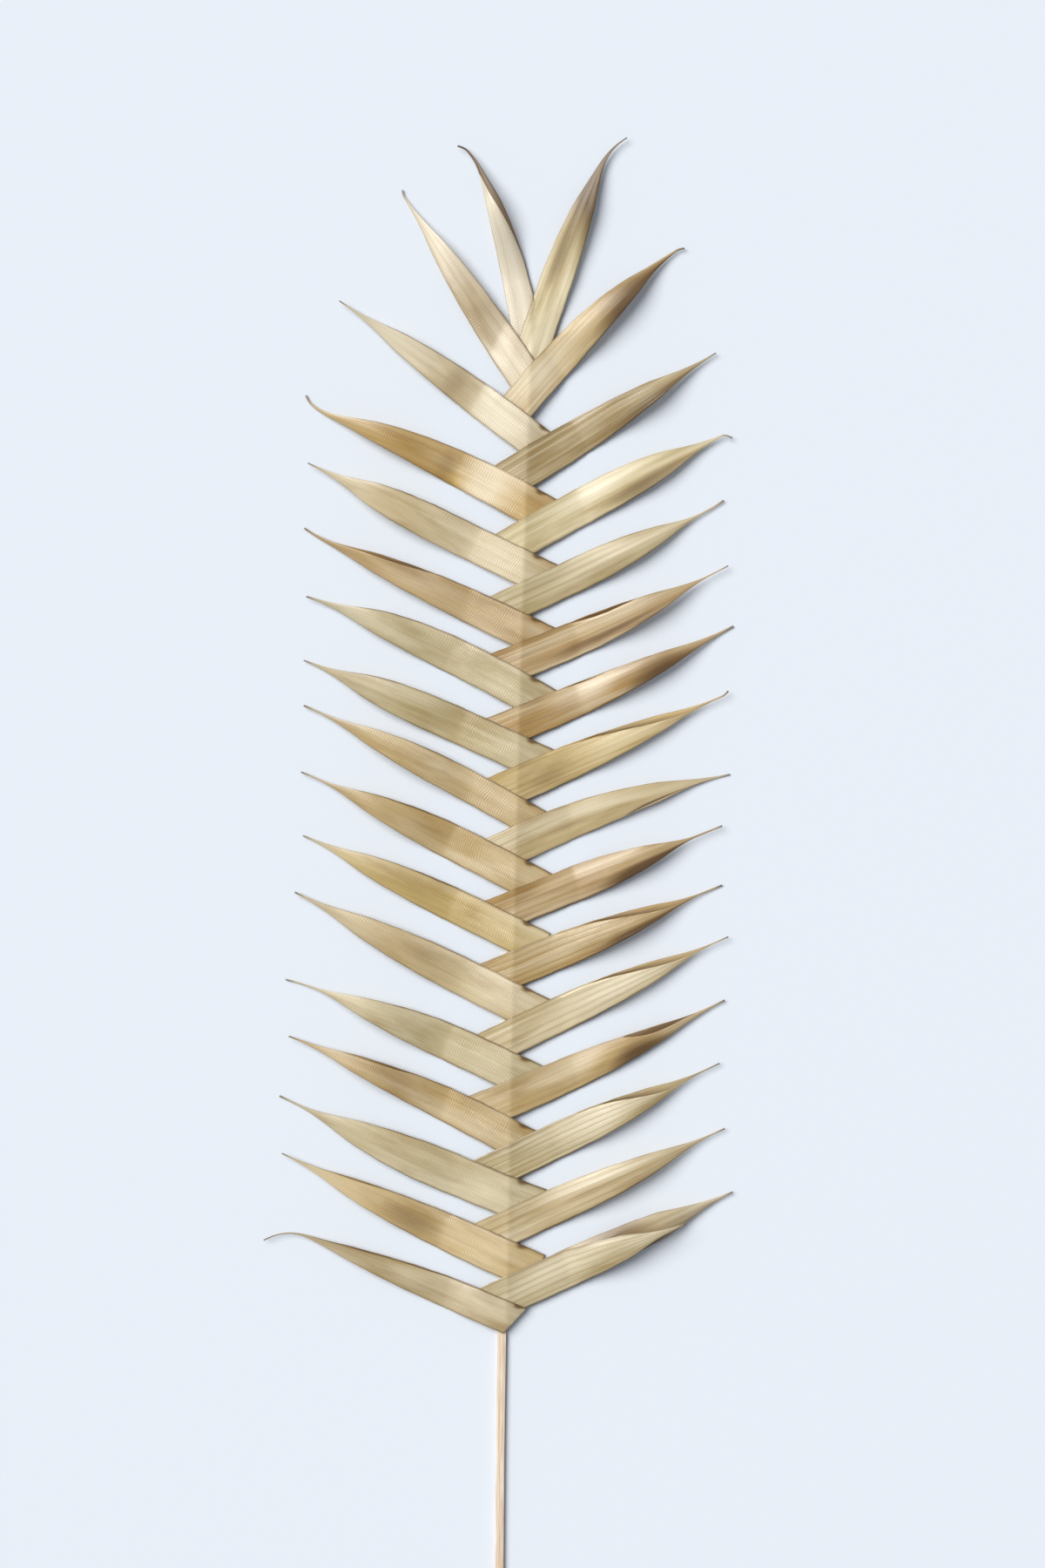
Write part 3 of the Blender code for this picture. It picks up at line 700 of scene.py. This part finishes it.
def leaf_group():
    """The finish that all the strips share: streaks, pleats and fibres along the blade, wavy ripples across
    it, blotches of darker and paler leaf, thin dark edges, a greyer tip and a matt inner face, over one
    strip's own colour. Painted shade darkens the ripples, the pleat grooves and the edges, the streaks carry
    some painted sheen, and the strip's stored marks bring its painted light and shade."""
    group = bpy.data.node_groups.new("dried_leaf", "ShaderNodeTree")
    for name in ("Colour", "Dark", "Pale", "Inner"):
        group_socket(group, name, "NodeSocketColor", "INPUT")
    for name in ("Ripples", "Streaks", "Upper Line", "Lower Line", "Pleats", "Pleat Depth"):
        group_socket(group, name, "NodeSocketFloat", "INPUT", 0.5)
    group_socket(group, "Leaf", "NodeSocketColor", "OUTPUT")
    group_socket(group, "Roughness", "NodeSocketFloat", "OUTPUT")
    group_socket(group, "Height", "NodeSocketFloat", "OUTPUT")
    nodes, links = group.nodes, group.links
    into, out = nodes.new("NodeGroupInput"), nodes.new("NodeGroupOutput")
    ribbon = nodes.new("ShaderNodeUVMap")
    ribbon.uv_map = "ribbon"
    split = nodes.new("ShaderNodeSeparateXYZ")
    links.new(ribbon.outputs["UV"], split.inputs["Vector"])

    def noise(scale, detail, roughness=0.55):
        """A noise over the ribbon's own metres, stretched by scale."""
        stretch = nodes.new("ShaderNodeMapping")
        stretch.inputs["Scale"].default_value = (*scale, 1)
        made = nodes.new("ShaderNodeTexNoise")
        made.inputs["Scale"].default_value = 1
        made.inputs["Detail"].default_value = detail
        made.inputs["Roughness"].default_value = roughness
        links.new(ribbon.outputs["UV"], stretch.inputs["Vector"])
        links.new(stretch.outputs["Vector"], made.inputs["Vector"])
        return made.outputs["Fac"]

    def joined(socket, value):
        """Sets a socket to a number or a colour, or links it."""
        if isinstance(value, (int, float, tuple)):
            socket.default_value = value
        else:
            links.new(value, socket)

    def ranged(value, low, high, to_low=0.0, to_high=1.0):
        """The value mapped in a straight line from low..high to to_low..to_high, and clamped."""
        made = nodes.new("ShaderNodeMapRange")
        for name, number in zip(("From Min", "From Max", "To Min", "To Max"), (low, high, to_low, to_high)):
            made.inputs[name].default_value = number
        links.new(value, made.inputs["Value"])
        return made.outputs["Result"]

    def maths(operation, first, second=0.0):
        """One step of arithmetic on two values."""
        made = nodes.new("ShaderNodeMath")
        made.operation = operation
        joined(made.inputs[0], first)
        joined(made.inputs[1], second)
        return made.outputs["Value"]

    def mixed(factor, first, second, kind="MIX"):
        """Two colours mixed by a factor."""
        made = nodes.new("ShaderNodeMix")
        made.data_type = "RGBA"
        made.blend_type = kind
        made.clamp_factor = True
        joined(made.inputs[0], factor)
        joined(made.inputs[6], first)
        joined(made.inputs[7], second)
        return made.outputs[2]

    def attribute(name):
        """A value stored on the strip's mesh."""
        made = nodes.new("ShaderNodeAttribute")
        made.attribute_name = name
        return made.outputs["Fac"]

    across, share, inside, shade = (attribute(name) for name in ("across", "along", "inside", "shade"))
    bend = maths("MULTIPLY", noise((38, 60), 1), 0.006)
    warp = maths("ADD", bend, maths("MULTIPLY", noise((520, 190), 2), 0.0005))
    phase = maths("MULTIPLY", maths("ADD", split.outputs["X"], warp), 2 * np.pi / RIPPLE_LENGTH)
    wave = maths("SINE", phase)
    gust = ranged(noise((260, 520), 3), 0.36, 0.66, 0.0, 1.0)
    gust = maths("MULTIPLY", gust, ranged(share, 0.5, 0.95, 1.0, 0.35))
    ripple = maths("MULTIPLY", maths("MULTIPLY", wave, gust), into.outputs["Ripples"])
    line = maths("MULTIPLY", maths("POWER", maths("MAXIMUM", wave, 0.0), 2.5), gust)
    sway = maths("MULTIPLY", noise((26, 60), 2), 2.2)
    turns = maths("MULTIPLY", maths("MULTIPLY", across, np.pi / 2), into.outputs["Pleats"])
    pleat = maths("POWER", maths("ABSOLUTE", maths("SINE", maths("ADD", turns, sway))), 0.5)
    groove = maths("MULTIPLY", maths("SUBTRACT", 1.0, pleat), into.outputs["Pleat Depth"])
    fibres = noise((24, 4200), 3)
    streaks = noise((7, 520), 3, 0.5)
    blotch = noise((30, 130), 3)
    cloud = noise((14, 70), 2)
    # Thin dark edge lines: dry brown edges, with painted shade where an edge curls down or passes under the
    # next strip.
    upper = maths("MULTIPLY", ranged(across, 0.88, 0.97), into.outputs["Upper Line"])
    lower = maths("MULTIPLY", ranged(across, -0.9, -0.98), into.outputs["Lower Line"])
    edge = maths("MULTIPLY", maths("ADD", upper, lower), ranged(blotch, 0.3, 0.55, 0.4, 1.0))
    colour = mixed(ranged(cloud, 0.42, 0.68, 0, 0.6), into.outputs["Colour"], into.outputs["Pale"])
    colour = mixed(ranged(blotch, 0.46, 0.7, 0, 0.52), colour, into.outputs["Dark"])
    # Lengthwise streaks of darker and paler leaf: veins, and on the right strips also painted satin sheen
    # and shade.
    streaked = maths("MULTIPLY", into.outputs["Streaks"], ranged(streaks, 0.5, 0.72))
    colour = mixed(streaked, colour, into.outputs["Dark"])
    brightened = maths("MULTIPLY", into.outputs["Streaks"], ranged(streaks, 0.46, 0.3))
    colour = mixed(brightened, colour, into.outputs["Pale"])
    # The strip's stored tone: paler and darker leaf from its marks, and its painted highlights and painted
    # shade.
    colour = mixed(ranged(shade, 0, 1), colour, into.outputs["Pale"])
    colour = mixed(ranged(shade, 0, -1), colour, into.outputs["Dark"])
    # Painted shade: thin dark lines along the cross ripples, and darker pleat grooves.
    ripple_painted_shade = maths("MULTIPLY", line, maths("MULTIPLY", into.outputs["Ripples"], 0.34))
    colour = mixed(ripple_painted_shade, colour, into.outputs["Dark"])
    colour = mixed(maths("MULTIPLY", groove, 1.5), colour, into.outputs["Dark"])
    colour = mixed(maths("MULTIPLY", inside, 0.7), colour, into.outputs["Inner"])
    # Deep stain brown for the darkest tone: stains, and painted shade in pockets and notches.
    colour = mixed(ranged(shade, -0.3, -0.9, 0, 0.85), colour, linear(STAIN_AND_SHADE))
    greyed = maths("MULTIPLY", ranged(share, 0.55, 0.95, 0, 0.4), ranged(shade, -0.6, 0.0))
    colour = mixed(greyed, colour, linear(GREYED))
    colour = mixed(0.42, colour, ranged(fibres, 0.25, 0.75, 0.62, 1.3), "MULTIPLY")
    colour = mixed(edge, colour, linear(DRY_EDGE_AND_SHADE))
    colour = mixed(ranged(share, 0.955, 1.0, 0, 0.8), colour, linear(DARK_END))
    links.new(colour, out.inputs["Leaf"])
    rough = maths("ADD", ranged(streaks, 0.3, 0.7, 0.28, 0.42), maths("MULTIPLY", inside, 0.2))
    links.new(rough, out.inputs["Roughness"])
    height = maths("ADD", ripple, maths("MULTIPLY", fibres, 0.35))
    height = maths("ADD", height, maths("MULTIPLY", streaks, 1.2))
    height = maths("SUBTRACT", height, maths("MULTIPLY", groove, 3.0))
    links.new(height, out.inputs["Height"])
    return group


# How much of its red, green and blue a strip's colour keeps in its body, its dark parts and its inner face,
# how far its pale parts go to pale leaf, and what differs between left and right strips: the least depth of
# the ripples, the streaks, and how dark the upper and the lower edges are. The dark and pale colours serve
# for darker and paler leaf and also for painted shade and painted highlights; the right strips' stronger
# streaks are partly painted satin sheen, and the dark edges partly painted shade.
BODY_TONE = (0.81, 0.78, 0.73)
DARK_TONE = (0.46, 0.35, 0.17)
INNER_TONE = (0.86, 0.76, 0.66)
PALE_SHARE = 0.65
LEFT_LOOK = (0.26, 0.2, 0.85, 0.35)
RIGHT_LOOK = (0.2, 0.52, 0.5, 0.75)
RIPPLE_GAIN = 2.6
PLEAT_GAIN = 3
PLEAT_LEAST = 0.05
LEAF_BUMP = 0.13 * MM


def toned(colour, red, green, blue):
    """A linear colour with each part scaled."""
    return (colour[0] * red, colour[1] * green, colour[2] * blue, 1)


def leaf_finish(number, group):
    """One strip's material: its own colour, bleached a little, with its darker, paler and inner tones, in
    the shared leaf finish."""
    strip = STRIPS[number]
    ripples, streaks, upper, lower = LEFT_LOOK if "left" in strip.name else RIGHT_LOOK
    made, nodes, links, shader = new_material(strip.name)
    leaf = nodes.new("ShaderNodeGroup")
    leaf.node_tree = group
    colour = np.array(linear(TONES[strip.tone])) * (1 - BLEACH) + np.array(linear(BLEACHED)) * BLEACH
    leaf.inputs["Colour"].default_value = toned(colour, *BODY_TONE)
    leaf.inputs["Dark"].default_value = toned(colour, *DARK_TONE)
    pale = colour * (1 - PALE_SHARE) + np.array(linear(PALE_LEAF_AND_HIGHLIGHT)) * PALE_SHARE
    leaf.inputs["Pale"].default_value = tuple(pale)
    leaf.inputs["Inner"].default_value = toned(colour, *INNER_TONE)
    leaf.inputs["Ripples"].default_value = ripples + RIPPLE_GAIN * strip.ripple
    leaf.inputs["Streaks"].default_value = streaks
    leaf.inputs["Pleats"].default_value = strip.pleats
    leaf.inputs["Pleat Depth"].default_value = max(0.0, strip.pleat - PLEAT_LEAST) * PLEAT_GAIN
    leaf.inputs["Upper Line"].default_value = upper
    leaf.inputs["Lower Line"].default_value = lower
    bump = nodes.new("ShaderNodeBump")
    bump.inputs["Strength"].default_value = 0.55
    bump.inputs["Distance"].default_value = LEAF_BUMP
    links.new(leaf.outputs["Leaf"], shader.inputs["Base Color"])
    links.new(leaf.outputs["Roughness"], shader.inputs["Roughness"])
    links.new(leaf.outputs["Height"], bump.inputs["Height"])
    links.new(bump.outputs["Normal"], shader.inputs["Normal"])
    shader.inputs["Specular IOR Level"].default_value = 0.75
    return made


def put_attribute(mesh, name, values):
    """Stores one number a vertex under a name that the material reads."""
    mesh.attributes.new(name, "FLOAT", "POINT").data.foreach_set("value", values.astype(np.float32).ravel())


leaf = leaf_group()
for number, strip in enumerate(STRIPS):
    points, uv, marks = strip_surface(number)
    leftwards = strip.tip[0] * MM < stick_centre(strip.at * MM)
    if leftwards != (FOLDS.get(strip.name, NO_FOLD).side < 0):
        points, uv = points[:, ::-1], uv[:, ::-1]
        marks = {name: values[:, ::-1] for name, values in marks.items()}
    piece = add_grid(strip.name + "_finish", points, uv)
    for name, values in marks.items():
        put_attribute(piece.data, name, values)
    piece.data.materials.append(leaf_finish(number, leaf))
    solid = piece.modifiers.new("Thickness", "SOLIDIFY")
    solid.thickness = STRIP_THICKNESS
    solid.offset = 1
    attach(piece, "root")
    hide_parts(strip.name)
